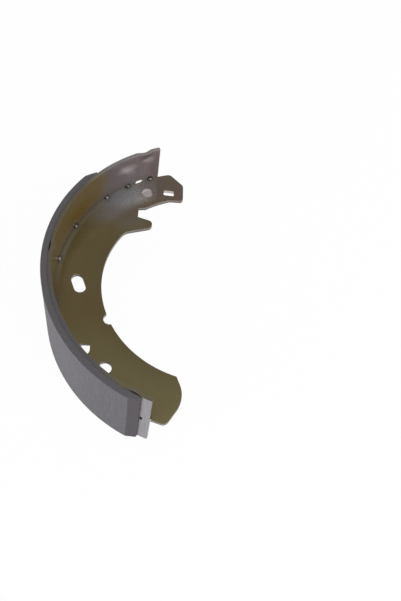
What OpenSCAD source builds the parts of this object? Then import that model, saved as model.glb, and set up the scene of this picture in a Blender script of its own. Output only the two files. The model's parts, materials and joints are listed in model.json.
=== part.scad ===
// Drum brake shoe: a stamped web welded inside a rolled rim, with a bonded friction lining.
// The shoe lies flat, the drum axis runs along Z, and the hold-down hole is the origin.

/* [Drum fit] */
// inside diameter of the brake drum, touched by the lining
drum_d = 279.4; // [277.4:1:281.4]
// width of the rim and lining along the drum axis
shoe_w = 76.2; // [66.2:2:86.2]

/* [Friction lining] */
// thickness of the new lining
lining_t = 5.2; // [4.2:0.2:5.8]
// arc covered by the lining, in degrees
lining_span = 106.4; // [102.4:1:107.4]
// how far the middle of the lining sits from the middle of the rim, in degrees
lining_shift = 12.6; // [9.6:0.5:12.6]
// length of the sloped run at each end of the lining
chamfer_len = 9; // [7:1:12]
// how much lower the lining is at the end of the slope
chamfer_drop = 3.2; // [2:0.2:3.4]

/* [Rim] */
// thickness of the rolled rim strip
rim_t = 3.2; // [2.6:0.2:3.6]
// arc covered by the rim, in degrees
rim_span = 139; // [136:1:140]
// angle between neighbouring edge nibs
nib_step = 63; // [62:0.2:63.4]
// how far the middle nib sits from the middle of the rim, in degrees
nib_mid_shift = 3; // [1:0.5:4]
// how deep the outer nibs are pressed in at the edge of the rim
nib_depth = 2; // [1.4:0.2:2.8]
// how deep the middle nibs are pressed in
mid_nib_depth = 1.2; // [0.8:0.2:2.8]
// radius of the press tool that makes a nib
nib_tool_r = 11; // [9:1:14]
// how far a nib reaches in from the edge
nib_reach = 10; // [8:1:14]
// height of the upper slot on the mid-line of the rim
upper_slot_h = 7; // [5.6:0.2:8]
// height of the lower slots on the mid-line of the rim
lower_slot_h = 5.6; // [4.8:0.2:6.4]
// distance of the upper slot from the upper end of the rim, in degrees
upper_slot_at = 8.4; // [8:0.2:8.8]
// distances of the three lower slots from the lower end of the rim, in degrees
lower_slot_end = 3.8; // [3.4:0.2:4.2]
lower_slot_mid = 12.4; // [12:0.2:12.8]
lower_slot_far = 20.6; // [20:0.2:21]
// lengths of the slots along the rim
upper_slot_len = 8; // [6:0.5:9]
end_slot_len = 6; // [5:0.5:7]
mid_slot_len = 5; // [4:0.5:6]
far_slot_len = 9; // [7:0.5:10]

/* [Web] */
// thickness of the stamped web
web_t = 3.5; // [2.5:0.5:4.5]
// depth of the web from the inside of the rim to its curved inner edge
web_depth = 39.7; // [37.7:1:40.7]
// depth of the web at the upper tip
tip_depth = 30.6; // [29.6:0.5:31.6]
// depth of the relief cut in the web behind each rim slot
relief_depth = 1.6; // [1.2:0.2:2.8]
// radius of the rounded nose at the lower end
heel_r = 24; // [20:1:28]
// how far the shoulder behind the lower end of the rim stands out past the inside of the rim
shoulder_rise = 2.2; // [1:0.2:2.4]
// radius of the half round notch in the inner edge
inner_notch_r = 5.3; // [4.3:0.5:6.3]
// angle of the half round notch, from the middle of the rim
inner_notch_at = 24.5; // [21.5:1:27.5]

/* [Holes in the web] */
// width of the oval hold-down hole
hold_hole_w = 10; // [9:0.5:12]
// length of the oval hold-down hole
hold_hole_len = 18.7; // [16.7:0.5:20.7]
// tilt of the oval hold-down hole
hold_hole_tilt = 20.4; // [10.4:2:30.4]
// depth of the hold-down hole below the rim
hold_hole_depth = 20.4; // [18.4:0.5:22.4]
// diameter of the round spring hole near the upper tip
spring_hole_d = 10; // [8:0.5:11]
// length of the slot in the upper tip
tip_slot_len = 9.8; // [8.8:0.5:11.8]
// width of the slot in the upper tip
tip_slot_w = 6; // [5.2:0.2:7.2]
// width of the first lower spring hole, which has one square corner
first_hole_d = 10.2; // [8.2:0.5:11.2]
// diameter of the second lower spring hole
second_hole_d = 10.8; // [8.8:0.5:11.8]

/* [Welds] */
// radius of a weld nugget in the corner between web and rim
weld_r = 2.6; // [1.8:0.2:2.8]

/* [Hidden] */
$fn = 48;

// how far a cutting tool reaches past the material
over = 1;
// corner circles are this much larger, so that they cross the straight edges cleanly
blend = 0.004;
lining_r = drum_d / 2;
rim_out_r = lining_r - lining_t;
rim_in_r = rim_out_r - rim_t;
web_in_r = rim_in_r - web_depth;
tip_in_r = rim_in_r - tip_depth;
upper_end = 180 - rim_span / 2;
lower_end = 180 + rim_span / 2;

// holes in the web, each as depth below the rim and angle around the drum
hold_at = 182.2;
spring_hole_depth = 15.6;
spring_hole_at = 118.5;
tip_slot_depth = 22.2;
tip_slot_at = 108.8;
tip_slot_tilt = -3;
tip_slot_r = 1.5;
first_hole_depth = 9.4;
first_hole_at = 213.4;
second_hole_depth = 13.7;
second_hole_at = 224.7;

// upper tip, in millimetres from the corner point on the rim circle
tip_at = 109;
tip_end_x = 21.3;
tip_end_lean = 0.2;
tip_end_y = -10.5;
tip_foot_y = -29.3;
tip_chamfer = 45.5;
tip_chamfer_run = 24;
tip_corner_r = 4;
tip_end_r = 5;
tip_foot_r = 3.2;
tip_root_r = 12;

// mouth between the tip and the finger
mouth_x = -20.5;
mouth_lean = 0.4;
mouth_floor_y = -52;
mouth_roof_y = -41.7;
mouth_roof_slope = 8;
mouth_roof_len = 14;

// finger below the mouth
finger_slope = 17.4;
finger_end_x = -7.3;
finger_foot_y = -63.4;
finger_foot_slope = 16.5;
finger_top_r = 4.4;
finger_foot_r = 5.2;
finger_root_r = 11;
finger_back = 14;
finger_foot_run = 34;

// lower end, in millimetres from a point on the rim circle just past the end of the rim
heel_at = 250;
heel_nose_x = 25.5;
heel_nose_y = 17.2;
heel_top_x = 13.5;
heel_top_y = 48.4;
heel_foot_run = 11;
heel_foot_slope = 17.8;
heel_foot_r = 5;
shoulder_gap = 0.5;
shoulder_root = 6;
shoulder_from = lower_end + shoulder_gap / rim_in_r * 180 / PI;

// angles where the crescent and the narrower tip are cut off before the corners are shaped
crescent_from = 127;
tip_to = 135;
sheet_from = 95;
sheet_to = 262;

// centre of the half round notch, in from the inner edge of the web
inner_notch_lead = 0.9;

// corner radius of the rim slots
rim_slot_r = 1.5;

// rim slots, each as angle around the drum, length and height
rim_slots = [
    [upper_end + upper_slot_at, upper_slot_len, upper_slot_h],
    [lower_end - lower_slot_far, far_slot_len, lower_slot_h],
    [lower_end - lower_slot_mid, mid_slot_len, lower_slot_h],
    [lower_end - lower_slot_end, end_slot_len, lower_slot_h]
];

// edge nibs, each as angle around the drum and depth
nibs = [
    [180 - nib_step, nib_depth],
    [180 - nib_mid_shift, mid_nib_depth],
    [180 + nib_step, nib_depth]
];

// weld nuggets, in degrees from the upper end of the rim
weld_angles = [3.6, 14, 24.7, 44, 60.8, 79.8, 96, 106, 113.6, 122.4, 131];

function polar(r, a) = [r * cos(a), r * sin(a)];
function unit(v) = v / norm(v);
function dot(a, b) = a[0] * b[0] + a[1] * b[1];
function tip_point(x, y) = polar(rim_in_r, tip_at) + [x, y];
// where the level foot of the tip meets the inner arc of the tip
function tip_foot_x() = -sqrt(pow(tip_in_r, 2) - pow(tip_point(0, tip_foot_y)[1], 2));
function heel_point(x, y) = polar(rim_in_r, heel_at) + [x, y];

// every sub-part is drawn around the drum axis and moved so the hold-down hole is at the origin
hold_point = polar(rim_in_r - hold_hole_depth, hold_at);

module from_drum_axis() {
    translate([-hold_point[0], -hold_point[1], 0])
        children();
}

// plate outline from corners, each [x, y, radius]; corners with a radius point outwards and get a true arc
module rounded_plate(corners) {
    count = len(corners);
    bends = [for (i = [0 : count - 1])
        let (
            here = [corners[i][0], corners[i][1]],
            before = corners[(i + count - 1) % count],
            after = corners[(i + 1) % count],
            u = unit([before[0], before[1]] - here),
            v = unit([after[0], after[1]] - here),
            half = acos(dot(u, v)) / 2,
            run = corners[i][2] / tan(half),
            mid = here + unit(u + v) * corners[i][2] / sin(half)
        )
        [here + u * run, here + v * run, mid, here, corners[i][2]]];
    polygon([for (b = bends) for (k = [0, 1]) b[k]]);
    for (b = bends)
        if (b[4] > 0)
            intersection() {
                translate(b[2])
                    circle(r = b[4] + blend);
                polygon([b[0], b[3], b[1], b[2]]);
            }
}

// strip of plate between two radii and two angles
module sector(inner, outer, from, to) {
    mid = (from + to) / 2;
    reach = outer / cos((to - from) / 4) + over;
    intersection() {
        difference() {
            circle(r = outer);
            circle(r = inner);
        }
        polygon([[0, 0], polar(reach, from), polar(reach, (from + mid) / 2),
                 polar(reach, mid), polar(reach, (mid + to) / 2), polar(reach, to)]);
    }
}

// what lies outside a rounded corner, where a straight edge that faces one way meets a circle
module corner_tool(edge_point, facing, ring_r, corner_r) {
    normal = polar(1, facing);
    along = polar(1, facing + 90);
    edge = dot(normal, edge_point);
    centre = (edge - corner_r) * normal
        + sqrt(pow(ring_r - corner_r, 2) - pow(edge - corner_r, 2)) * along;
    corner = edge * normal + sqrt(pow(ring_r, 2) - pow(edge, 2)) * along;
    on_edge = centre + corner_r * normal;
    on_ring = centre * ring_r / (ring_r - corner_r);
    difference() {
        polygon([
            on_edge,
            on_edge + over * normal,
            corner + 2 * over * unit(corner),
            on_ring + over * unit(on_ring),
            on_ring
        ]);
        translate(centre)
            circle(r = corner_r + blend);
    }
}

module finger() {
    top_y = mouth_floor_y - (finger_end_x - mouth_x) * tan(finger_slope);
    foot = tip_point(finger_end_x, finger_foot_y);
    head = tip_point(finger_end_x, top_y);
    back_head = tip_point(mouth_x - finger_back, mouth_floor_y + finger_back * tan(finger_slope));
    back_foot = foot - finger_foot_run * [1, tan(finger_foot_slope)];
    rounded_plate([
        [foot[0], foot[1], finger_foot_r],
        [head[0], head[1], finger_top_r],
        [back_head[0], back_head[1], 0],
        [back_foot[0], back_foot[1], 0]
    ]);
}

// open end of the mouth, between the tip and the finger that is added afterwards
module mouth() {
    low = tip_point(mouth_x, mouth_floor_y - over);
    roof = tip_point(mouth_x + mouth_lean, mouth_roof_y);
    polygon([
        low,
        low + mouth_roof_len * [1, -tan(finger_slope)],
        roof + mouth_roof_len * [1, tan(mouth_roof_slope)],
        roof
    ]);
}

// edge of the blank around both ends of the web, with their rounded corners
module end_mask() {
    foot = tip_point(tip_end_x - tip_end_lean, tip_foot_y);
    head = tip_point(tip_end_x, tip_end_y);
    top = tip_point(tip_end_x - tip_chamfer_run, tip_end_y + tip_chamfer_run * tan(tip_chamfer));
    heel_foot = polar(rim_in_r + shoulder_rise, heel_at) + heel_foot_run * [1, -tan(heel_foot_slope)];
    nose = heel_point(heel_nose_x, heel_nose_y);
    heel_top = heel_point(heel_top_x, heel_top_y);
    far = 2 * drum_d;
    rounded_plate([
        [tip_foot_x(), foot[1], 0],
        [foot[0], foot[1], tip_foot_r],
        [head[0], head[1], tip_end_r],
        [top[0], top[1], 0],
        [-far, far, 0],
        [heel_foot[0] - far, heel_foot[1] + far * tan(heel_foot_slope), 0],
        [heel_foot[0], heel_foot[1], heel_foot_r],
        [nose[0], nose[1], heel_r],
        [heel_top[0], heel_top[1], 0]
    ]);
}

module oval(len, width) {
    square([len - width, width], center = true);
    for (side = [-1, 1])
        translate([side * (len - width) / 2, 0])
            circle(d = width);
}

// round hole with one square corner, up and away from the rim
module cornered_hole(width) {
    circle(d = width);
    square(width / 2);
}

module web_holes() {
    translate(hold_point)
        rotate([0, 0, 90 + hold_hole_tilt])
            oval(hold_hole_len, hold_hole_w);
    translate(polar(rim_in_r - spring_hole_depth, spring_hole_at))
        circle(d = spring_hole_d);
    translate(polar(rim_in_r - tip_slot_depth, tip_slot_at))
        rotate([0, 0, tip_slot_tilt])
            rounded_slot(tip_slot_len, tip_slot_w, tip_slot_r);
    translate(polar(rim_in_r - first_hole_depth, first_hole_at))
        cornered_hole(first_hole_d);
    translate(polar(rim_in_r - second_hole_depth, second_hole_at))
        circle(d = second_hole_d);
    translate(polar(web_in_r - inner_notch_lead, 180 + inner_notch_at))
        circle(r = inner_notch_r);
}

// level foot below the inner arc of the tip, with a rounded root
module tip_foot() {
    foot = tip_point(tip_end_x, tip_foot_y);
    tip_rise = tip_end_y - tip_foot_y;
    polygon([
        [tip_foot_x(), foot[1]],
        foot + [over, 0],
        foot + [over, tip_rise],
        [tip_foot_x(), foot[1] + tip_rise]
    ]);
    corner_tool(foot, 90, tip_in_r, tip_root_r);
}

// crescent, narrower tip and the shoulder past the lower end of the rim
module blank() {
    intersection() {
        union() {
            sector(web_in_r, rim_in_r, crescent_from, sheet_to);
            sector(tip_in_r, rim_in_r, sheet_from, tip_to);
            sector(rim_in_r - shoulder_root, rim_out_r, shoulder_from, sheet_to);
            tip_foot();
        }
        end_mask();
    }
}

// outline of the web: the corner tool fills the root of the finger and rounds the corner of the tip
module web_outline() {
    finger_foot = tip_point(finger_end_x, finger_foot_y);
    tip_head = tip_point(tip_end_x, tip_end_y);
    difference() {
        union() {
            difference() {
                blank();
                mouth();
            }
            finger();
            corner_tool(finger_foot, 90 + finger_foot_slope, web_in_r, finger_root_r);
        }
        corner_tool(tip_head, 90 - tip_chamfer, rim_in_r, tip_corner_r);
        web_holes();
        for (slot = rim_slots)
            rotate([0, 0, slot[0]])
                translate([rim_in_r, 0])
                    square([2 * relief_depth, slot[1]], center = true);
    }
}

module web() {
    color([0.40, 0.36, 0.21])
        from_drum_axis()
            translate([0, 0, -web_t / 2])
                linear_extrude(height = web_t)
                    web_outline();
}

// press tool of an edge nib, grown by the strip thickness for the raised side
module nib_tool(depth, grow) {
    lean = atan(depth / nib_reach);
    translate([rim_out_r - depth + nib_tool_r, 0, shoe_w / 2])
        rotate([0, -lean, 0])
            cylinder(r = nib_tool_r + grow, h = 3 * nib_reach, center = true);
}

// metal of a nib pushed in past the inside of the rim
module raised_side(depth) {
    intersection() {
        nib_tool(depth, rim_t);
        translate([rim_in_r - 2 * depth, -nib_tool_r, shoe_w / 2 - 2 * nib_reach])
            cube([2 * depth + rim_t / 2, 2 * nib_tool_r, 2 * nib_reach + 2 * over]);
    }
}

// places what follows at a nib's angle, on both edges of the rim
module at_both_edges(angle) {
    for (side = [0, 180])
        rotate([0, 0, angle])
            rotate([side, 0, 0])
                children();
}

module rim_strip() {
    rotate([0, 0, upper_end])
        rotate_extrude(angle = rim_span)
            translate([rim_in_r, -shoe_w / 2 - over])
                square([rim_t, shoe_w + 2 * over]);
}

module rim() {
    color([0.45, 0.40, 0.28])
        from_drum_axis()
            intersection() {
                cylinder(r = lining_r, h = shoe_w, center = true);
                difference() {
                    union() {
                        rim_strip();
                        for (nib = nibs)
                            at_both_edges(nib[0])
                                raised_side(nib[1]);
                    }
                    for (nib = nibs)
                        at_both_edges(nib[0])
                            nib_tool(nib[1], 0);
                    for (slot = rim_slots)
                        rotate([0, 0, slot[0]])
                            translate([rim_in_r - over, 0, 0])
                                rotate([0, 90, 0])
                                    linear_extrude(height = rim_t + 2 * over)
                                        rotate([0, 0, 90])
                                            rounded_slot(slot[1], slot[2], rim_slot_r);
                }
            }
}

module rounded_slot(len, width, corner_r) {
    rounded_plate([
        [-len / 2, -width / 2, corner_r],
        [len / 2, -width / 2, corner_r],
        [len / 2, width / 2, corner_r],
        [-len / 2, width / 2, corner_r]
    ]);
}

module lining() {
    start = 180 + lining_shift - lining_span / 2;
    color([0.36, 0.35, 0.37])
        from_drum_axis()
            difference() {
                rotate([0, 0, start])
                    rotate_extrude(angle = lining_span)
                        translate([rim_out_r, -shoe_w / 2])
                            square([lining_t, shoe_w]);
                for (end = [0, 1])
                    rotate([0, 0, start + end * lining_span])
                        mirror([0, end, 0])
                            translate([0, 0, -shoe_w / 2 - over])
                                linear_extrude(height = shoe_w + 2 * over)
                                    chamfer_cut();
            }
}

// sloped end of the lining, seen along the drum axis with the end face on the X axis
module chamfer_cut() {
    slope = chamfer_drop / chamfer_len;
    polygon([
        [lining_r - chamfer_drop - slope * over, -over],
        [lining_r + over, chamfer_len + over / slope],
        [lining_r + 4 * over, -over]
    ]);
}

module weld_nuggets() {
    color([0.52, 0.50, 0.46])
        from_drum_axis()
            for (at = weld_angles)
                rotate([0, 0, upper_end + at])
                    for (side = [0, 180])
                        rotate([side, 0, 0])
                            weld_nugget();
}

// one nugget, a quarter ball in the corner that ends at the web face and at the rim face
module weld_nugget() {
    translate([rim_in_r - weld_r * weld_r / rim_in_r, 0, web_t / 2])
        rotate([90, 0, 0])
            rotate([0, 0, 90])
                rotate_extrude(angle = 90)
                    intersection() {
                        circle(r = weld_r);
                        translate([0, -weld_r])
                            square([weld_r, 2 * weld_r]);
                    }
}

web();
rim();
lining();
weld_nuggets();
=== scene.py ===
import bpy
import bmesh
import json
import math
from mathutils import Euler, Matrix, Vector

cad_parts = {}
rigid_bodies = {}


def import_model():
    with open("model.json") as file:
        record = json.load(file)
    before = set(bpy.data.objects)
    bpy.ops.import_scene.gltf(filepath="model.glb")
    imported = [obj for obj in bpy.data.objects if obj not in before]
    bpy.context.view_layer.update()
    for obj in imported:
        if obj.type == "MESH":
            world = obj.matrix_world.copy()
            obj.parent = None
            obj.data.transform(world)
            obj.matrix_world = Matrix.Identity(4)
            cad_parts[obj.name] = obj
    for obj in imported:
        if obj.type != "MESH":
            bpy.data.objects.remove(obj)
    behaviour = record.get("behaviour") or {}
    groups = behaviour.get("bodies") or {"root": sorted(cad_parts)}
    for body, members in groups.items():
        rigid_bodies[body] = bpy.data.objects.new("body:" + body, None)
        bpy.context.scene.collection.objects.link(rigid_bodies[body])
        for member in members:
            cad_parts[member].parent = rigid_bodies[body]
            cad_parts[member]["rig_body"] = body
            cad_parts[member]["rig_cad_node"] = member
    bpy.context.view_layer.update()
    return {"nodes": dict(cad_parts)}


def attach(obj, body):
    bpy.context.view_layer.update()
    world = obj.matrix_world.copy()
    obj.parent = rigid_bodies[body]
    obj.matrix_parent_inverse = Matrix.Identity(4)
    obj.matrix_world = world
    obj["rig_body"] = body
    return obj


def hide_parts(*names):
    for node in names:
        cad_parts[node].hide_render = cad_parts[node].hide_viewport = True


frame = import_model()
mm = 0.001
drumAxis = Vector((110.818, 4.257, 0.0)) * mm  # centre of the drum, seen from the hold-down hole

# sizes that the pieces share, in millimetres and degrees around the drum
shoe = {
    "width": 76.2,
    "webThick": 3.5,
    "rimInside": 131.3,
    "rimOutside": 134.5,
    "liningOutside": 139.7,
    "rimFrom": 110.5,
    "rimTo": 249.5,
    "liningFrom": 139.4,
    "liningTo": 245.8,
    "liningSteps": 213,  # faces along the lining, and along the adhesive beside it
    "welds": (3.6, 14, 24.7, 44, 60.8, 79.8, 96, 106, 113.6, 122.4, 131),  # from the upper end of the rim
}

# limits for cleaning and rounding meshes, in millimetres and degrees
meshLimits = {
    "merge": 0.002,  # loose corners of a CAD node
    "doubles": 0.001,  # corners that a spin leaves twice
    "flat": 0.4,
    "smoothBelow": 30,
    "sharpAbove": 38,
}

# heat marks around each weld, on the web and on the rim; the brown ring is partly scorch and partly painted
# contact shade
weldHeatAndShade = {
    "halo": "#6B6B6F", "scorchAndShade": "#48332E",
    "haloReach": (7.5, 3.5), "scorchAndShadeReach": (3.7, 2.7),  # millimetres from the weld: start, full
    "hotter": (140, 128, 0.2, 0.6),  # degrees: the upper welds are burnt more
}


def linear(code):  # sRGB hex to linear colour
    parts = [int(code[i:i + 2], 16) / 255 for i in (1, 3, 5)]
    return [p / 12.92 if p <= 0.04045 else ((p + 0.055) / 1.055) ** 2.4 for p in parts] + [1.0]


plus = {"operation": "ADD"}
minus = {"operation": "SUBTRACT"}
times = {"operation": "MULTIPLY"}
timesPlus = {"operation": "MULTIPLY_ADD"}
larger = {"operation": "MAXIMUM"}
positive = {"operation": "ABSOLUTE"}
size = {"operation": "LENGTH"}
smooth = {"interpolation_type": "SMOOTHSTEP"}  # Map Range: value, start, full, strength at each
colours = {"data_type": "RGBA"}  # Mix: amount, under, over
overlay = {"data_type": "RGBA", "blend_type": "OVERLAY"}


def addNode(tree, kind, settings, *values, **named):  # a node with its settings, values and links
    node = tree.nodes.new("ShaderNode" + kind)
    for name, value in settings.items():
        if name == "stops":  # places and colours of a ramp
            first, last = node.color_ramp.elements
            first.position, last.position = value[0][0], value[-1][0]
            first.color, last.color = linear(value[0][1]), linear(value[-1][1])
            for spot, code in value[1:-1]:
                node.color_ramp.elements.new(spot).color = linear(code)
        else:
            setattr(node, name, value)
    sockets = [socket for socket in node.inputs if socket.enabled]
    pairs = list(zip(sockets, values))
    for name, value in named.items():
        pairs.append((node.inputs[name], value))
    for socket, value in pairs:
        if isinstance(value, bpy.types.Node):
            value = next(output for output in value.outputs if output.enabled)
        if isinstance(value, bpy.types.NodeSocket):
            tree.links.new(value, socket)
        else:
            socket.default_value = value
    return node


def newMaterial(name):
    made = bpy.data.materials.new(name)
    made.use_nodes = True
    made.node_tree.nodes.clear()
    return made, made.node_tree


def fade(start, full, low=0.0, high=1.0):  # a Map Range's values, with start and full in millimetres
    return start * mm, full * mm, low, high


def arcAt(degrees):  # place along the unrolled strip, in millimetres
    return math.radians(degrees - 180) * shoe["rimOutside"]


def drumPoint(radius, degrees, height=0.0):  # a point given around the drum, in millimetres
    turn = math.radians(degrees)
    return drumAxis + Vector((radius * math.cos(turn), radius * math.sin(turn), height)) * mm


def aroundDrum(tree):  # where a point is on the shoe, and which way its surface faces
    place = addNode(tree, "TexCoord", {}).outputs["Object"]
    centred = addNode(tree, "VectorMath", minus, place, drumAxis)
    flat = addNode(tree, "VectorMath", times, centred, (1, 1, 0))
    radius = addNode(tree, "VectorMath", size, flat)
    outward = addNode(tree, "VectorMath", {"operation": "NORMALIZE"}, flat)
    turned = addNode(tree, "SeparateXYZ", {}, addNode(tree, "VectorMath", times, centred, (-1, -1, 1)))
    height = turned.outputs["Z"]
    angle = addNode(tree, "Math", {"operation": "ARCTAN2"}, turned.outputs["Y"], turned.outputs["X"])
    arc = addNode(tree, "Math", times, angle, shoe["rimOutside"] * mm)
    unrolled = addNode(tree, "CombineXYZ", {}, arc, height, radius)
    degrees = addNode(tree, "Math", timesPlus, angle, 180 / math.pi, 180.0)
    normal = addNode(tree, "NewGeometry", {}).outputs["Normal"]
    facing = addNode(tree, "VectorMath", {"operation": "DOT_PRODUCT"}, normal, outward)
    upright = addNode(tree, "Math", positive, addNode(tree, "SeparateXYZ", {}, normal).outputs["Z"])
    return {"place": place, "unrolled": unrolled, "arc": arc, "radius": radius, "degrees": degrees,
            "height": height, "facing": facing, "upright": upright}


def heatMarksAndShade(tree, here, colour, haloStrength):  # grey halo around each weld, and a brown ring that is partly scorch and partly painted contact shade
    above = addNode(tree, "Math", positive, here["height"])
    folded = addNode(tree, "CombineXYZ", {}, here["arc"], above, here["radius"])
    nearest = 1.0  # metres, farther than any weld
    for step in shoe["welds"]:
        spot = (arcAt(shoe["rimFrom"] + step) * mm, shoe["webThick"] / 2 * mm, shoe["rimInside"] * mm)
        gap = addNode(tree, "VectorMath", {"operation": "DISTANCE"}, folded, spot)
        nearest = addNode(tree, "Math", {"operation": "MINIMUM"}, gap, nearest)
    halo = addNode(tree, "MapRange", smooth, nearest, *fade(*weldHeatAndShade["haloReach"], high=haloStrength))
    colour = addNode(tree, "Mix", colours, halo, colour, linear(weldHeatAndShade["halo"]))
    hotter = addNode(tree, "MapRange", smooth, here["degrees"], *weldHeatAndShade["hotter"])
    # brown ring: scorch, with painted contact shade around the bead
    burn = addNode(tree, "MapRange", smooth, nearest, *fade(*weldHeatAndShade["scorchAndShadeReach"], high=hotter))
    return addNode(tree, "Mix", colours, burn, colour, linear(weldHeatAndShade["scorchAndShade"]))


def layFilmsAndPaintedLight(tree, colour, place, wobble, filmsAndPaintedLight):  # soft ovals of colour, laid one over another: coloured film, and in places painted light, highlights and reflections
    for across, up, long, wide, turn, blur, strength, code in filmsAndPaintedLight:
        oval = addNode(tree, "Mapping", {"vector_type": "TEXTURE"}, place, Location=(across * mm, up * mm, 0),
                       Rotation=(0, 0, math.radians(turn)), Scale=(long * mm, wide * mm, 1))
        away = addNode(tree, "Math", plus, addNode(tree, "VectorMath", size, oval), wobble)
        amount = addNode(tree, "MapRange", smooth, away, 1 + blur, 1 - blur, 0.0, strength)
        colour = addNode(tree, "Mix", colours, amount, colour, linear(code))
    return colour


def selectOnly(piece):
    bpy.ops.object.select_all(action="DESELECT")
    piece.select_set(True)
    bpy.context.view_layer.objects.active = piece


def selectParts(piece, kind, test):  # edit mode selection of vertices, or of edges by their two ends
    bpy.ops.mesh.select_mode(type=kind)
    bpy.ops.mesh.select_all(action="DESELECT")
    shape = bmesh.from_edit_mesh(piece.data)
    if kind == "VERT":
        for vertex in shape.verts:
            vertex.select_set(test(vertex.co))
    else:
        for edge in shape.edges:
            edge.select_set(test(edge.verts[0].co, edge.verts[1].co))
    shape.select_flush_mode()
    bmesh.update_edit_mesh(piece.data)


def standsUp(a, b):  # an edge that runs along the drum axis for more than a centimetre
    return abs(a.z - b.z) > 10 * mm


def shapeWith(piece, kind, **settings):  # add a modifier and apply it
    selectOnly(piece)
    modifier = piece.modifiers.new(kind.title(), kind)
    for name, value in settings.items():
        setattr(modifier, name, value)
    bpy.ops.object.modifier_apply(modifier=modifier.name)


def roundEdges(piece, width, steps, chosenBy="ANGLE"):  # small rounding on sharp edges, with clean flat faces
    selectOnly(piece)
    bpy.ops.object.shade_smooth_by_angle(angle=math.radians(meshLimits["smoothBelow"]))
    shapeWith(piece, "BEVEL", width=width * mm, segments=steps, limit_method=chosenBy,
              angle_limit=math.radians(meshLimits["sharpAbove"]), harden_normals=True,
              use_clamp_overlap=False)


def copyOfNode(nodeName, name):  # own mesh, loose triangles merged into clean faces
    selectOnly(frame["nodes"][nodeName])
    bpy.ops.object.duplicate()
    piece = bpy.context.view_layer.objects.active
    piece.name = piece.data.name = name
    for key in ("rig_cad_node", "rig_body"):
        if key in piece:
            del piece[key]
    piece.parent = None
    bpy.ops.object.mode_set(mode="EDIT")
    bpy.ops.mesh.select_all(action="SELECT")
    bpy.ops.mesh.remove_doubles(threshold=meshLimits["merge"] * mm)
    bpy.ops.mesh.dissolve_limited(angle_limit=math.radians(meshLimits["flat"]))
    bpy.ops.object.mode_set(mode="OBJECT")
    return piece


def rolledStrip(name, inner, outer, start, end, rows, steps):  # a flat profile spun around the drum
    bpy.ops.object.select_all(action="DESELECT")
    middle = drumPoint((inner + outer) / 2, start)
    bpy.ops.mesh.primitive_plane_add(size=1, location=middle, rotation=(math.pi / 2, 0, math.radians(start)))
    strip = bpy.context.view_layer.objects.active
    strip.name = strip.data.name = name
    strip.scale = ((outer - inner) * mm, shoe["width"] * mm, 1)
    bpy.ops.object.transform_apply(location=True, rotation=True, scale=True)
    bpy.ops.object.mode_set(mode="EDIT")
    selectParts(strip, "EDGE", standsUp)
    bpy.ops.mesh.subdivide(number_cuts=rows - 1)
    bpy.ops.mesh.select_all(action="SELECT")
    bpy.ops.mesh.spin(steps=steps, angle=math.radians(start - end), center=drumAxis, axis=(0, 0, 1))
    bpy.ops.mesh.select_all(action="SELECT")
    bpy.ops.mesh.remove_doubles(threshold=meshLimits["doubles"] * mm)
    bpy.ops.mesh.normals_make_consistent(inside=False)
    bpy.ops.object.mode_set(mode="OBJECT")
    return strip


def joinAs(name, pieces):  # one piece from several, with its object at the origin
    bpy.ops.object.select_all(action="DESELECT")
    for piece in pieces:
        piece.select_set(True)
    bpy.context.view_layer.objects.active = pieces[0]
    bpy.ops.object.join()
    joined = bpy.context.view_layer.objects.active
    joined.name = joined.data.name = name
    bpy.ops.object.transform_apply(location=True, rotation=True, scale=True)
    return joined


def dress(piece, material, slotName, *nodeNames):  # finish, body and the CAD nodes it stands for
    piece.data.materials.clear()
    piece.data.materials.append(material)
    for polygon in piece.data.polygons:
        polygon.material_index = 0
    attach(piece, "root")
    if nodeNames:
        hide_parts(*nodeNames)


# camera at the photograph's angle
view = {
    "place": (39.99, -311.97, 480.33),  # millimetres
    "turn": (32.061, -7.21, -0.745),  # degrees
    "lens": 39.67,
    "sensor": 36,
}
camera = bpy.data.objects.new("photoCamera", bpy.data.cameras.new("photoCamera"))
camera.data.lens = view["lens"]
camera.data.sensor_width = view["sensor"]
camera.location = Vector(view["place"]) * mm
camera.rotation_euler = Euler([math.radians(a) for a in view["turn"]])
bpy.context.scene.collection.objects.link(camera)
bpy.context.scene.camera = camera
bpy.context.scene.view_settings.view_transform = "Standard"
print("camera placed")

# soft studio light: pale sides, a darker ceiling, and large lamps around the front
studio = {
    "front": 0.85,
    "back": 0.60,
    "ceiling": 0.50,
    "frontToBack": (-0.5, 0.5),  # where the light changes, by the Y of its direction
    "sidesToCeiling": (0.1, 0.75),  # and by its Z
    "tint": "#FFFFFF",
    "aim": (0.03, 0, 0),  # metres
    "lamps": [
        # name, place in metres, size in metres, watts
        ("rightLamp", (1.1, -0.9, 1.1), 0.9, 14),
        ("leftLamp", (-1.3, -0.8, 0.5), 0.9, 10),
    ],
}
world = bpy.data.worlds.new("studioLight")
bpy.context.scene.world = world
world.use_nodes = True
tree = world.node_tree
tree.nodes.clear()
compass = addNode(tree, "SeparateXYZ", {}, addNode(tree, "TexCoord", {}).outputs["Generated"])
sides = addNode(tree, "MapRange", smooth, compass.outputs["Y"], *studio["frontToBack"], studio["front"],
                studio["back"])
lift = addNode(tree, "MapRange", smooth, compass.outputs["Z"], *studio["sidesToCeiling"], 0.0, 1.0)
level = addNode(tree, "Mix", {"data_type": "FLOAT"}, lift, sides, studio["ceiling"])
seen = addNode(tree, "LightPath", {}).outputs["Is Camera Ray"]
level = addNode(tree, "Mix", {"data_type": "FLOAT"}, seen, level, 1.0)
addNode(tree, "OutputWorld", {}, addNode(tree, "Background", {}, linear(studio["tint"]), level))
for name, place, across, watts in studio["lamps"]:
    lamp = bpy.data.objects.new(name, bpy.data.lights.new(name, "AREA"))
    lamp.data.shape = "DISK"
    lamp.data.size = across
    lamp.data.energy = watts
    lamp.location = place
    lamp.rotation_euler = (Vector(studio["aim"]) - Vector(place)).to_track_quat("-Z", "Y").to_euler()
    bpy.context.scene.collection.objects.link(lamp)
print("light set")

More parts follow.
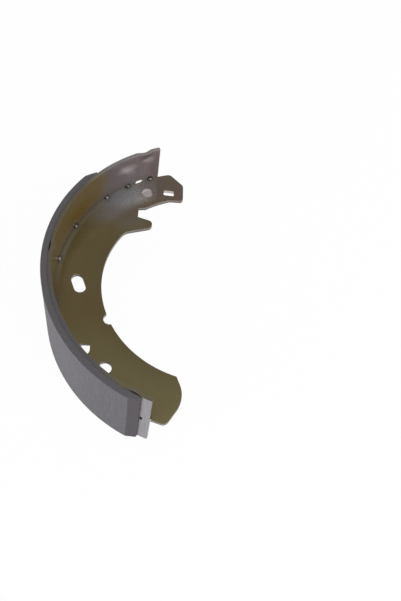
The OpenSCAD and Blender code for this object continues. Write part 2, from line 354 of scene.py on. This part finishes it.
# pale floor that keeps a soft shadow, just below the adhesive
floorValues = {
    "size": 6.0,  # metres
    "place": (30, 0, -38.5),  # millimetres
    "colour": "#F6F6F6",
    "glow": "#FFFFFF",
    "lift": 0.97,  # share of glow that the camera sees, with the shadow in the rest
}
bpy.ops.object.select_all(action="DESELECT")
bpy.ops.mesh.primitive_plane_add(size=floorValues["size"], location=Vector(floorValues["place"]) * mm)
floor = bpy.context.view_layer.objects.active
floor.name = "studioFloor"
material, tree = newMaterial("matt white paper")
rays = addNode(tree, "LightPath", {}).outputs
direct = addNode(tree, "Math", larger, rays["Is Camera Ray"], rays["Is Glossy Ray"])
direct = addNode(tree, "Math", larger, direct, rays["Is Transmission Ray"])
lift = addNode(tree, "Math", times, direct, floorValues["lift"])
paper = addNode(tree, "BsdfDiffuse", {}, linear(floorValues["colour"]))
glow = addNode(tree, "Emission", {}, linear(floorValues["glow"]), 1.0)
addNode(tree, "OutputMaterial", {}, addNode(tree, "MixShader", {}, lift, paper, glow))
floor.data.materials.append(material)
print("floor laid")

# In the dictionaries below, a fade is written as where it starts, where it is full, and its strength
# at each, which is 0 and 1 where it is left out. One pixel of the photograph is about a millimetre, so
# grain, grit and streaks are drawn coarser than the real ones, which wouldn't show.

# stamped web: cold-rolled sheet, zinc plated with an olive passivate
webValues = {
    "edge": 0.2, "edgeSteps": 2,  # edge rounding, millimetres
    "welded": 0.05,  # how near the rim an edge counts as welded to it, millimetres
    "cloud": 38, "mottle": 9, "rolled": 1.6, "torn": 1.1, "pits": 2.6,  # pattern sizes, millimetres
    "ground": [(0.3, "#796C48"), (0.7, "#786541")],  # olive and amber clouds
    "wobble": 0.3,  # how far the clouds push the edge of a film
    "heel": "#857C56", "heelward": (-20, -95, 0.0, 0.85),  # millimetres along Y
    "inner": "#665C3D", "inward": (113, 88, 0.0, 0.4),  # millimetres from the drum's centre
    "lightAndShadeBesideRim": [  # painted light and painted reflection of the wall, lighter towards the rim, then painted shade at the seam; millimetres from the drum's centre: start, full, strength, colour
        (108, 122, 0.5, "#8C8158"),
        (125.5, 128, 0.65, "#A59E8A"),
        (129, 131, 0.5, "#6E6353"),
    ],
    "lightAndShadeBesideRimFrom": (190, 165, 0.0, 1.0),  # degrees
    "filmsAndPaintedLight": [  # middle x and y, reach along and across, turn, blur, strength, colour
        (6, 62, 18, 10, 52, 0.7, 0.5, "#8D8260"),  # painted reflection of the lit wall, lighter beside the seam
        (44, 66, 14, 8, 0, 0.6, 0.5, "#7F7566"),  # greyer finger
        (42, 84, 22, 13, 20, 0.6, 0.4, "#7A7475"),  # greyer towards the mouth
        (23, 86, 22, 11, 42, 0.6, 0.75, "#A29B98"),  # mauve fringe
        (39, 102, 25, 12, 26, 0.6, 0.85, "#AFB2B4"),  # blue-grey by the upper wall: partly film, partly painted reflection of the rim wall
        (60, 114, 13, 14, 0, 0.6, 0.7, "#7C7676"),
    ],
    "tip": "#77675B", "tipX": (62.5, 66, 0.0, 0.9), "tipY": (40, 70),  # brown on the tip: partly film, partly painted darker reflection beyond the end of the mirrored rim wall; millimetres
    "patches": [(0.3, "#727272"), (0.7, "#8C8C8C")], "patchy": 0.22,
    "halo": 0.3,  # strength of the grey around the welds
    "cut": "#8A8280", "tear": "#6C6461",  # sheared edge: burnished band, torn band
    "ragged": 0.8, "bandLine": (0, 0.5),  # the line between them, millimetres
    "streaks": (0.35, 0.7, 0.0, 0.4),
    "litInHoles": [  # painted light on the cut walls, written as the films are
        (75.7, 107.5, 8, 6, 0, 0.2, 0.9, "#C6BAB6"),  # painted light on the cut wall inside the slot
        (55.6, 105.9, 8, 8, 0, 0.2, 0.8, "#B9AFAA"),  # and inside the round hole
    ],
    "cutSide": (0.6, 0.25, 0.0, 1.0),  # a surface less level than this counts as cut
    "grain": "#8E8560", "rollTurn": 12, "worn": (0.58, 0.8, 0.0, 0.15),
    "pit": "#48332E", "pitReach": (0.16, 0.06, 0.0, 1.0), "pitPlaces": (0.5, 0.62, 0.0, 0.4),
    "metal": 0.62,
    "roughness": (0.3, 0.7, 0.25, 0.28), "cutRoughness": 0.12,  # over the grain, and more on the cut
}
webPlate = copyOfNode("web", "webPlate")
bpy.ops.object.mode_set(mode="EDIT")
bpy.ops.mesh.select_mode(type="EDGE")
bpy.ops.mesh.select_all(action="DESELECT")
bpy.ops.mesh.edges_select_sharp(sharpness=math.radians(meshLimits["sharpAbove"]))
shape = bmesh.from_edit_mesh(webPlate.data)
for edge in shape.edges:  # the edge that is welded to the rim stays square
    distances = [abs((v.co - drumAxis).xy.length - shoe["rimInside"] * mm) for v in edge.verts]
    if max(distances) < webValues["welded"] * mm:
        edge.select_set(False)
bmesh.update_edit_mesh(webPlate.data)
bpy.ops.transform.edge_bevelweight(value=1.0)
bpy.ops.object.mode_set(mode="OBJECT")
roundEdges(webPlate, webValues["edge"], webValues["edgeSteps"], "WEIGHT")
# satin metal under a thin coloured film: soft reflections, cloudy olive and brown; painted light, reflection
# and shade beside the rim, and blue-grey near the wall that is partly painted reflection
webSteel, tree = newMaterial("passivated cold rolled steel")
here = aroundDrum(tree)
spread = addNode(tree, "SeparateXYZ", {}, here["place"])
cloud = addNode(tree, "TexNoise", {}, here["place"], Scale=1 / (webValues["cloud"] * mm), Detail=3.0,
                Roughness=0.55, Distortion=0.4)
mottle = addNode(tree, "TexNoise", {}, here["place"], Scale=1 / (webValues["mottle"] * mm), Detail=2.0,
                 Roughness=0.5)
wobble = addNode(tree, "MapRange", {}, cloud, 0.0, 1.0, -webValues["wobble"], webValues["wobble"])
colour = addNode(tree, "ValToRGB", {"stops": webValues["ground"]}, cloud)
heelward = addNode(tree, "MapRange", smooth, spread.outputs["Y"], *fade(*webValues["heelward"]))
colour = addNode(tree, "Mix", colours, heelward, colour, linear(webValues["heel"]))
inward = addNode(tree, "MapRange", smooth, here["radius"], *fade(*webValues["inward"]))
colour = addNode(tree, "Mix", colours, inward, colour, linear(webValues["inner"]))
# painted light, painted reflection and painted shade on the web beside the rim
upper = addNode(tree, "MapRange", smooth, here["degrees"], *webValues["lightAndShadeBesideRimFrom"])
for start, full, strength, code in webValues["lightAndShadeBesideRim"]:
    nearRim = addNode(tree, "MapRange", smooth, here["radius"], *fade(start, full, high=strength))
    nearRim = addNode(tree, "Math", times, nearRim, upper)
    colour = addNode(tree, "Mix", colours, nearRim, colour, linear(code))
colour = layFilmsAndPaintedLight(tree, colour, here["place"], wobble, webValues["filmsAndPaintedLight"])
# painted reflection edge: the rim wall's mirror image ends along X, and the tip beyond it is browner
tipward = addNode(tree, "Math", times,
                  addNode(tree, "MapRange", smooth, spread.outputs["X"], *fade(*webValues["tipX"])),
                  addNode(tree, "MapRange", smooth, spread.outputs["Y"], *fade(*webValues["tipY"])))
colour = addNode(tree, "Mix", colours, tipward, colour, linear(webValues["tip"]))
patches = addNode(tree, "ValToRGB", {"stops": webValues["patches"]}, mottle)
colour = addNode(tree, "Mix", overlay, webValues["patchy"], colour, patches)
colour = heatMarksAndShade(tree, here, colour, webValues["halo"])
# sheared edge: burnished band above, torn band below, both streaked along the cut
drawn = addNode(tree, "Mapping", {}, here["place"], Scale=(1, 1, 0.06))
streak = addNode(tree, "TexNoise", {}, drawn, Scale=1 / (webValues["torn"] * mm), Detail=3.0)
ragged = addNode(tree, "Math", timesPlus, streak, webValues["ragged"] * mm, here["height"])
band = addNode(tree, "MapRange", smooth, ragged, *fade(*webValues["bandLine"]))
cutColour = addNode(tree, "Mix", colours, band, linear(webValues["tear"]), linear(webValues["cut"]))
streaked = addNode(tree, "MapRange", smooth, streak, *webValues["streaks"])
cutColour = addNode(tree, "Mix", colours, streaked, cutColour, linear(webValues["tear"]))
# painted light inside the slot and the round hole
cutColour = layFilmsAndPaintedLight(tree, cutColour, here["place"], 0.0, webValues["litInHoles"])
cutSide = addNode(tree, "MapRange", smooth, here["upright"], *webValues["cutSide"])
colour = addNode(tree, "Mix", colours, cutSide, colour, cutColour)
# fine rolled grain and small pits
rolled = addNode(tree, "Mapping", {}, here["place"], Rotation=(0, 0, math.radians(webValues["rollTurn"])),
                 Scale=(1, 0.16, 1))
grain = addNode(tree, "TexNoise", {}, rolled, Scale=1 / (webValues["rolled"] * mm), Detail=3.0,
                Roughness=0.55)
worn = addNode(tree, "MapRange", smooth, grain, *webValues["worn"])
colour = addNode(tree, "Mix", colours, worn, colour, linear(webValues["grain"]))
pits = addNode(tree, "TexVoronoi", {}, here["place"], Scale=1 / (webValues["pits"] * mm))
pitted = addNode(tree, "Math", times, addNode(tree, "MapRange", smooth, pits, *webValues["pitReach"]),
                 addNode(tree, "MapRange", smooth, mottle, *webValues["pitPlaces"]))
colour = addNode(tree, "Mix", colours, pitted, colour, linear(webValues["pit"]))
rough = addNode(tree, "MapRange", smooth, grain, *webValues["roughness"])
rough = addNode(tree, "Math", timesPlus, cutSide, webValues["cutRoughness"], rough)
relief = addNode(tree, "Math", minus, grain, pitted)
bump = addNode(tree, "Bump", {}, Strength=0.035, Distance=0.1 * mm, Height=relief)
shader = addNode(tree, "BsdfPrincipled", {}, colour, webValues["metal"], rough, Normal=bump)
addNode(tree, "OutputMaterial", {}, shader)
dress(webPlate, webSteel, "web_steel", "web")
print("web dressed")

# rolled rim strip with pressed edge nibs and slots on its mid-line
rimValues = {
    "rows": 40, "steps": 278,  # faces across and along the strip
    "nibs": ((117.0, 2.0), (177.0, 1.2), (243.0, 2.0)),  # degrees, depth
    "nibSize": 8.5, "nibHeight": 0.2, "nibWidth": 0.7,  # reach of the press, and what it takes hold of
    "slots": ((118.9, 8, 7), (228.9, 9, 5.6), (237.1, 5, 5.6), (245.7, 6, 5.6)),  # degrees, length, height
    "slotCorner": 1.5, "cornerSteps": 6,
    "punchDepth": 12, "punchIn": 1.6,  # its middle lies this far inside the strip's outer face
    "edge": 0.4, "edgeSteps": 3,
    "cloud": 30, "mottle": 14, "streak": 1.3,  # pattern sizes, millimetres
    "wobble": 0.35,
    "amber": "#7F6B42", "mauve": "#81767A",
    "mauveward": (150, 136, 0.0, 1.0), "drift": 14.0,  # degrees, and how far the clouds push them
    "foot": "#6F685D", "footward": (12, 3, 0.0, 0.6),  # greyer beside the web, millimetres from its middle
    "filmsAndPaintedLight": [  # degrees, height, reach along and across, turn, blur, strength, colour
        (111.5, 16, 7, 24, 0, 0.5, 0.7, "#716769"),  # darker film at the end
        (125.0, 25, 8.5, 4.2, 0, 0.7, 0.85, "#B2A9A9"),  # painted highlights high on the wall
        (115.6, 29, 5.5, 3, 0, 0.7, 0.8, "#A29998"),
        (150.0, 14, 16, 10, 0, 0.7, 0.75, "#7D611C"),  # yellower: painted reflection of the olive web
        (123.0, -20, 32, 17, 0, 0.3, 0.7, "#BBB3B0"),  # painted light below the web, thrown up from the pale floor
    ],
    "patches": [(0.3, "#747474"), (0.7, "#8A8A8A")], "patchy": 0.2,
    "halo": 0.25,
    "outside": "#908D93", "brushed": "#7B7880", "streaks": (0.35, 0.7, 0.0, 0.5),
    "outerSide": (0.5, 0.8, 0.0, 1.0),  # a surface that faces outwards more than this is bare
    "edgeSide": (0.5, 0.8, 0.0, 1.0),  # and one more level than this is the strip's edge
    "edges": [  # degrees and colour of the strip's edges
        (110, "#8C8784"), (134, "#837E7A"), (148, "#615A4E"), (182, "#615A4E"), (200, "#5B595D"),
        (228, "#5B595D"), (238, "#6A624C"), (250, "#6A624C"),
    ],
    "metal": 0.45,
    "roughness": (0.3, 0.7, 0.2, 0.26), "bareRoughness": 0.2,
}
rimStrip = rolledStrip("rimStrip", shoe["rimInside"], shoe["rimOutside"], shoe["rimFrom"], shoe["rimTo"],
                       rimValues["rows"], rimValues["steps"])
bpy.ops.object.mode_set(mode="EDIT")
nibHeight = (shoe["width"] / 2 - rimValues["nibHeight"]) * mm
nibWidth = rimValues["nibWidth"] * mm
for degrees, depth in rimValues["nibs"]:
    for side in (-1, 1):
        press = drumPoint(0, degrees) - drumPoint(1, degrees)
        across = Vector((press.y, -press.x, 0)).normalized()
        selectParts(rimStrip, "VERT", lambda p: p.z * side > nibHeight and (p - drumAxis).dot(press) < 0
                    and abs((p - drumAxis).dot(across)) < nibWidth)
        bpy.ops.transform.translate(value=press * depth, use_proportional_edit=True,
                                    proportional_edit_falloff="SMOOTH",
                                    proportional_size=rimValues["nibSize"] * mm)
bpy.ops.object.mode_set(mode="OBJECT")
roundEdges(rimStrip, rimValues["edge"], rimValues["edgeSteps"])
for degrees, length, height in rimValues["slots"]:
    middle = drumPoint(shoe["rimOutside"] - rimValues["punchIn"], degrees)
    bpy.ops.object.select_all(action="DESELECT")
    bpy.ops.mesh.primitive_cube_add(size=1, location=middle, rotation=(0, 0, math.radians(degrees)))
    punch = bpy.context.view_layer.objects.active
    punch.scale = (rimValues["punchDepth"] * mm, length * mm, height * mm)
    bpy.ops.object.transform_apply(location=False, rotation=False, scale=True)
    bpy.ops.object.mode_set(mode="EDIT")
    selectParts(punch, "EDGE", lambda a, b: abs(a.x - b.x) > rimValues["punchDepth"] / 2 * mm)
    bpy.ops.mesh.bevel(offset=rimValues["slotCorner"] * mm, segments=rimValues["cornerSteps"])
    bpy.ops.object.mode_set(mode="OBJECT")
    bpy.ops.object.transform_apply(location=True, rotation=True, scale=True)
    shapeWith(rimStrip, "BOOLEAN", operation="DIFFERENCE", object=punch, solver="EXACT")
    bpy.data.objects.remove(punch)
# satin metal film that runs from amber to mauve along the strip, bare and brushed on the outside
rimSteel, tree = newMaterial("passivated rolled strip")
here = aroundDrum(tree)
cloud = addNode(tree, "TexNoise", {}, here["unrolled"], Scale=1 / (rimValues["cloud"] * mm), Detail=3.0,
                Distortion=0.5)
mottle = addNode(tree, "TexNoise", {}, here["unrolled"], Scale=1 / (rimValues["mottle"] * mm), Detail=2.0)
wobble = addNode(tree, "MapRange", {}, cloud, 0.0, 1.0, -rimValues["wobble"], rimValues["wobble"])
shifted = addNode(tree, "Math", timesPlus, cloud, rimValues["drift"], here["degrees"])
mauveward = addNode(tree, "MapRange", smooth, shifted, *rimValues["mauveward"])
colour = addNode(tree, "Mix", colours, mauveward, linear(rimValues["amber"]), linear(rimValues["mauve"]))
above = addNode(tree, "Math", positive, here["height"])
footward = addNode(tree, "MapRange", smooth, above, *fade(*rimValues["footward"]))
colour = addNode(tree, "Mix", colours, footward, colour, linear(rimValues["foot"]))
# coloured film, with painted highlights, painted reflection and painted light from the list above
filmsAndPaintedLight = [(arcAt(film[0]),) + film[1:] for film in rimValues["filmsAndPaintedLight"]]
colour = layFilmsAndPaintedLight(tree, colour, here["unrolled"], wobble, filmsAndPaintedLight)
patches = addNode(tree, "ValToRGB", {"stops": rimValues["patches"]}, mottle)
colour = addNode(tree, "Mix", overlay, rimValues["patchy"], colour, patches)
colour = heatMarksAndShade(tree, here, colour, rimValues["halo"])
# bare outside, brushed along the drum axis
drawn = addNode(tree, "Mapping", {}, here["unrolled"], Scale=(1, 0.05, 1))
streak = addNode(tree, "TexNoise", {}, drawn, Scale=1 / (rimValues["streak"] * mm), Detail=3.0)
streaked = addNode(tree, "MapRange", smooth, streak, *rimValues["streaks"])
bare = addNode(tree, "Mix", colours, streaked, linear(rimValues["outside"]), linear(rimValues["brushed"]))
outerSide = addNode(tree, "MapRange", smooth, here["facing"], *rimValues["outerSide"])
colour = addNode(tree, "Mix", colours, outerSide, colour, bare)
# edges of the strip, greyer at the upper end
edgeSide = addNode(tree, "MapRange", smooth, here["upright"], *rimValues["edgeSide"])
first, last = rimValues["edges"][0][0], rimValues["edges"][-1][0]
stops = [((degrees - first) / (last - first), code) for degrees, code in rimValues["edges"]]
turned = addNode(tree, "MapRange", {}, here["degrees"], first, last, 0.0, 1.0)
edgeFilm = addNode(tree, "ValToRGB", {"stops": stops}, turned)
colour = addNode(tree, "Mix", colours, edgeSide, colour, edgeFilm)
rough = addNode(tree, "MapRange", smooth, mottle, *rimValues["roughness"])
duller = addNode(tree, "Math", larger, outerSide, edgeSide)
rough = addNode(tree, "Math", timesPlus, duller, rimValues["bareRoughness"], rough)
bump = addNode(tree, "Bump", {}, Strength=0.04, Distance=0.12 * mm, Height=streak)
shader = addNode(tree, "BsdfPrincipled", {}, colour, rimValues["metal"], rough, Normal=bump)
addNode(tree, "OutputMaterial", {}, shader)
dress(rimStrip, rimSteel, "rim_steel", "rim")
print("rim dressed")

# moulded friction block, ground on its outside, with a sloped end at each end
liningValues = {
    "rows": 24,  # faces across the block
    "slopeLength": 9, "slopeDrop": 3.2,
    "edge": 0.4, "edgeSteps": 2,
    "grit": 0.9, "fleck": 1.8, "streak": 0.7,  # pattern sizes, millimetres
    "ground": "#69676C", "side": "#545155", "slope": "#4A454A",
    "slopeSide": (0.99, 0.975, 0.0, 1.0),  # a surface that faces outwards less than this is sloped
    "flatSide": (0.8, 0.5, 0.0, 1.0),  # and less than this is a flat side or end
    "low": "#605E63", "lowward": (212, 240, 0.0, 1.0),  # darker towards the lower end, degrees
    "dark": "#4C4A4F", "pale": "#8C8A90",
    "speckles": [(0.45, 0.3, 0.4, "dark"), (0.58, 0.75, 0.35, "pale")],  # start, full, strength, colour
    "scratches": [(0.5, 0.72, 0.22, "pale"), (0.45, 0.28, 0.22, "dark")],
    "fibre": "#A09E9D", "fleckReach": (0.26, 0.14, 0.0, 0.3), "fleckPlaces": (0.62, 0.72, 0.0, 1.0),
    "scored": 0.6,  # depth of the grinding streaks beside the grit
    "roughness": 0.82,
}
liningBlock = rolledStrip("liningBlock", shoe["rimOutside"], shoe["liningOutside"], shoe["liningFrom"],
                          shoe["liningTo"], liningValues["rows"], shoe["liningSteps"])
bpy.ops.object.mode_set(mode="EDIT")
for degrees, inward in ((shoe["liningFrom"], 1), (shoe["liningTo"], -1)):
    turn = math.radians(degrees)
    radial = Vector((math.cos(turn), math.sin(turn), 0))
    along = Vector((-math.sin(turn), math.cos(turn), 0)) * inward
    slopeNormal = (radial - along * liningValues["slopeDrop"] / liningValues["slopeLength"]).normalized()
    corner = drumPoint(shoe["liningOutside"] - liningValues["slopeDrop"], degrees)
    bpy.ops.mesh.select_all(action="SELECT")
    bpy.ops.mesh.bisect(plane_co=corner, plane_no=slopeNormal, use_fill=True, clear_outer=True)
bpy.ops.object.mode_set(mode="OBJECT")
roundEdges(liningBlock, liningValues["edge"], liningValues["edgeSteps"])
# dull grey compound with grit and flecks, streaked along the drum axis where it was ground
liningStuff, tree = newMaterial("ground friction compound")
here = aroundDrum(tree)
grit = addNode(tree, "TexNoise", {}, here["place"], Scale=1 / (liningValues["grit"] * mm), Detail=3.0,
               Roughness=0.6)
drawn = addNode(tree, "Mapping", {}, here["unrolled"], Scale=(1, 0.08, 1))
streak = addNode(tree, "TexNoise", {}, drawn, Scale=1 / (liningValues["streak"] * mm), Detail=3.0)
slopeSide = addNode(tree, "MapRange", smooth, here["facing"], *liningValues["slopeSide"])
groundSide = addNode(tree, "Math", minus, 1.0, slopeSide)
flatSide = addNode(tree, "MapRange", smooth, here["facing"], *liningValues["flatSide"])
lowward = addNode(tree, "MapRange", smooth, here["degrees"], *liningValues["lowward"])
colour = addNode(tree, "Mix", colours, lowward, linear(liningValues["ground"]), linear(liningValues["low"]))
# the sloped ends and the flat sides are darker: partly their own colour, partly painted shade on faces turned
# from the lamps
colour = addNode(tree, "Mix", colours, slopeSide, colour, linear(liningValues["slope"]))
colour = addNode(tree, "Mix", colours, flatSide, colour, linear(liningValues["side"]))
for start, full, strength, name in liningValues["speckles"]:
    speckle = addNode(tree, "MapRange", smooth, grit, start, full, 0.0, strength)
    colour = addNode(tree, "Mix", colours, speckle, colour, linear(liningValues[name]))
for start, full, strength, name in liningValues["scratches"]:
    scratch = addNode(tree, "MapRange", smooth, streak, start, full, 0.0, strength)
    scratch = addNode(tree, "Math", times, scratch, groundSide)
    colour = addNode(tree, "Mix", colours, scratch, colour, linear(liningValues[name]))
flecks = addNode(tree, "TexVoronoi", {}, here["place"], Scale=1 / (liningValues["fleck"] * mm))
chosen = addNode(tree, "SeparateColor", {}, flecks.outputs["Color"])
fleck = addNode(tree, "Math", times, addNode(tree, "MapRange", smooth, flecks, *liningValues["fleckReach"]),
                addNode(tree, "MapRange", smooth, chosen, *liningValues["fleckPlaces"]))
fleck = addNode(tree, "Math", times, fleck, groundSide)
colour = addNode(tree, "Mix", colours, fleck, colour, linear(liningValues["fibre"]))
scored = addNode(tree, "Math", times, streak, groundSide)
relief = addNode(tree, "Math", timesPlus, scored, liningValues["scored"], grit)
bump = addNode(tree, "Bump", {}, Strength=0.35, Distance=0.12 * mm, Height=relief)
shader = addNode(tree, "BsdfPrincipled", {}, colour, Roughness=liningValues["roughness"], Normal=bump)
addNode(tree, "OutputMaterial", {}, shader)
dress(liningBlock, liningStuff, "friction_lining", "lining")
print("lining dressed")

# weld beads in the corner between web and rim
weldValues = {
    "radius": 2.6,
    "stretch": (0.98, 1.05, 0.9),
    "uneven": 0.09,  # millimetres
    "seat": 0.1,  # how far a bead's middle lies inside the rim's inner face, millimetres
    "turn": 37,  # degrees from one bead to the next, so that no two look alike
    "burn": 3.0,  # pattern size, millimetres
    "heat": [(0.35, "#4C413B"), (0.62, "#8C8780")],  # burnt spots and clean metal
    "roughness": (0.3, 0.7, 0.55, 0.4),
}
bpy.ops.object.select_all(action="DESELECT")
bpy.ops.mesh.primitive_uv_sphere_add(segments=24, ring_count=14, radius=weldValues["radius"] * mm,
                                     location=(0, 0, 0))
firstBead = bpy.context.view_layer.objects.active
firstBead.scale = weldValues["stretch"]
bpy.ops.object.transform_apply(location=False, rotation=False, scale=True)
bpy.ops.object.mode_set(mode="EDIT")
bpy.ops.mesh.select_all(action="SELECT")
bpy.ops.transform.vertex_random(offset=weldValues["uneven"] * mm, uniform=0.3, seed=4)
bpy.ops.object.mode_set(mode="OBJECT")
bpy.ops.object.shade_smooth()
beads = []
for side in (-1, 1):
    for index, step in enumerate(shoe["welds"]):
        selectOnly(firstBead)
        bpy.ops.object.duplicate()
        bead = bpy.context.view_layer.objects.active
        degrees = shoe["rimFrom"] + step
        radius = shoe["rimInside"] - weldValues["seat"]
        bead.rotation_euler = (math.radians(weldValues["turn"] * index), 0, math.radians(degrees))
        bead.location = drumPoint(radius, degrees, side * shoe["webThick"] / 2)
        beads.append(bead)
bpy.data.objects.remove(firstBead)
weldBeads = joinAs("weldBeads", beads)
# dull bright metal with burnt spots
weldSteel, tree = newMaterial("weld metal")
place = addNode(tree, "TexCoord", {}).outputs["Object"]
burn = addNode(tree, "TexNoise", {}, place, Scale=1 / (weldValues["burn"] * mm), Detail=3.0)
colour = addNode(tree, "ValToRGB", {"stops": weldValues["heat"]}, burn)
rough = addNode(tree, "MapRange", smooth, burn, *weldValues["roughness"])
bump = addNode(tree, "Bump", {}, Strength=0.3, Distance=0.2 * mm, Height=burn)
shader = addNode(tree, "BsdfPrincipled", {}, colour, Metallic=1.0, Roughness=rough, Normal=bump)
addNode(tree, "OutputMaterial", {}, shader)
dress(weldBeads, weldSteel, "weld_steel", "weld_nuggets")
print("welds dressed")

# adhesive squeezed out along the edges of the bonded block, in millimetres and degrees
glueValues = {
    "radius": 0.32, "sides": 8,
    "edgeOut": 0.1, "edgeHeight": 38.0,  # along the block's two long edges
    "endOut": 0.05, "endLength": 76.0, "endCuts": 60, "endPast": 0.08,  # across its two ends
    "lump": 1.15, "lumpOut": 0.7, "lumpAt": 139.0, "lumpHeight": 37.2,  # one drop at the upper end
    "rough": 0.09,
    "clots": 2.5,  # pattern size
    "cure": [(0.35, "#3F3A39"), (0.7, "#5A5350")],
    "roughness": (0.3, 0.7, 0.35, 0.6),
}
glueRuns = []
for side in (-1, 1):
    start = drumPoint(shoe["rimOutside"] + glueValues["edgeOut"], shoe["liningFrom"],
                      side * glueValues["edgeHeight"])
    bpy.ops.object.select_all(action="DESELECT")
    bpy.ops.mesh.primitive_circle_add(vertices=glueValues["sides"], radius=glueValues["radius"] * mm,
                                      location=start,
                                      rotation=(math.pi / 2, 0, math.radians(shoe["liningFrom"])))
    run = bpy.context.view_layer.objects.active
    bpy.ops.object.transform_apply(location=True, rotation=True, scale=True)
    bpy.ops.object.mode_set(mode="EDIT")
    bpy.ops.mesh.select_all(action="SELECT")
    bpy.ops.mesh.spin(steps=shoe["liningSteps"], angle=math.radians(shoe["liningFrom"] - shoe["liningTo"]),
                      center=drumAxis, axis=(0, 0, 1))
    bpy.ops.object.mode_set(mode="OBJECT")
    glueRuns.append(run)
for degrees in (shoe["liningFrom"] - glueValues["endPast"], shoe["liningTo"] + glueValues["endPast"]):
    middle = drumPoint(shoe["rimOutside"] + glueValues["endOut"], degrees)
    bpy.ops.object.select_all(action="DESELECT")
    bpy.ops.mesh.primitive_cylinder_add(vertices=glueValues["sides"], radius=glueValues["radius"] * mm,
                                        depth=glueValues["endLength"] * mm, location=middle)
    run = bpy.context.view_layer.objects.active
    bpy.ops.object.transform_apply(location=True, rotation=True, scale=True)
    bpy.ops.object.mode_set(mode="EDIT")
    selectParts(run, "EDGE", standsUp)
    bpy.ops.mesh.subdivide(number_cuts=glueValues["endCuts"])
    bpy.ops.object.mode_set(mode="OBJECT")
    glueRuns.append(run)
middle = drumPoint(shoe["rimOutside"] + glueValues["lumpOut"], glueValues["lumpAt"],
                   glueValues["lumpHeight"])
bpy.ops.mesh.primitive_ico_sphere_add(subdivisions=3, radius=glueValues["lump"] * mm, location=middle)
glueRuns.append(bpy.context.view_layer.objects.active)
glueLine = joinAs("glueLine", glueRuns)
bpy.ops.object.mode_set(mode="EDIT")
bpy.ops.mesh.select_all(action="SELECT")
bpy.ops.mesh.normals_make_consistent(inside=False)
bpy.ops.transform.vertex_random(offset=glueValues["rough"] * mm, uniform=0.4, seed=9)
bpy.ops.object.mode_set(mode="OBJECT")
bpy.ops.object.shade_smooth()
# brittle dark resin with a slight gloss
glueStuff, tree = newMaterial("cured phenolic adhesive")
place = addNode(tree, "TexCoord", {}).outputs["Object"]
clots = addNode(tree, "TexNoise", {}, place, Scale=1 / (glueValues["clots"] * mm), Detail=3.0)
colour = addNode(tree, "ValToRGB", {"stops": glueValues["cure"]}, clots)
rough = addNode(tree, "MapRange", smooth, clots, *glueValues["roughness"])
shader = addNode(tree, "BsdfPrincipled", {}, colour, Roughness=rough)
addNode(tree, "OutputMaterial", {}, shader)
dress(glueLine, glueStuff, "friction_lining")
print("adhesive dressed")
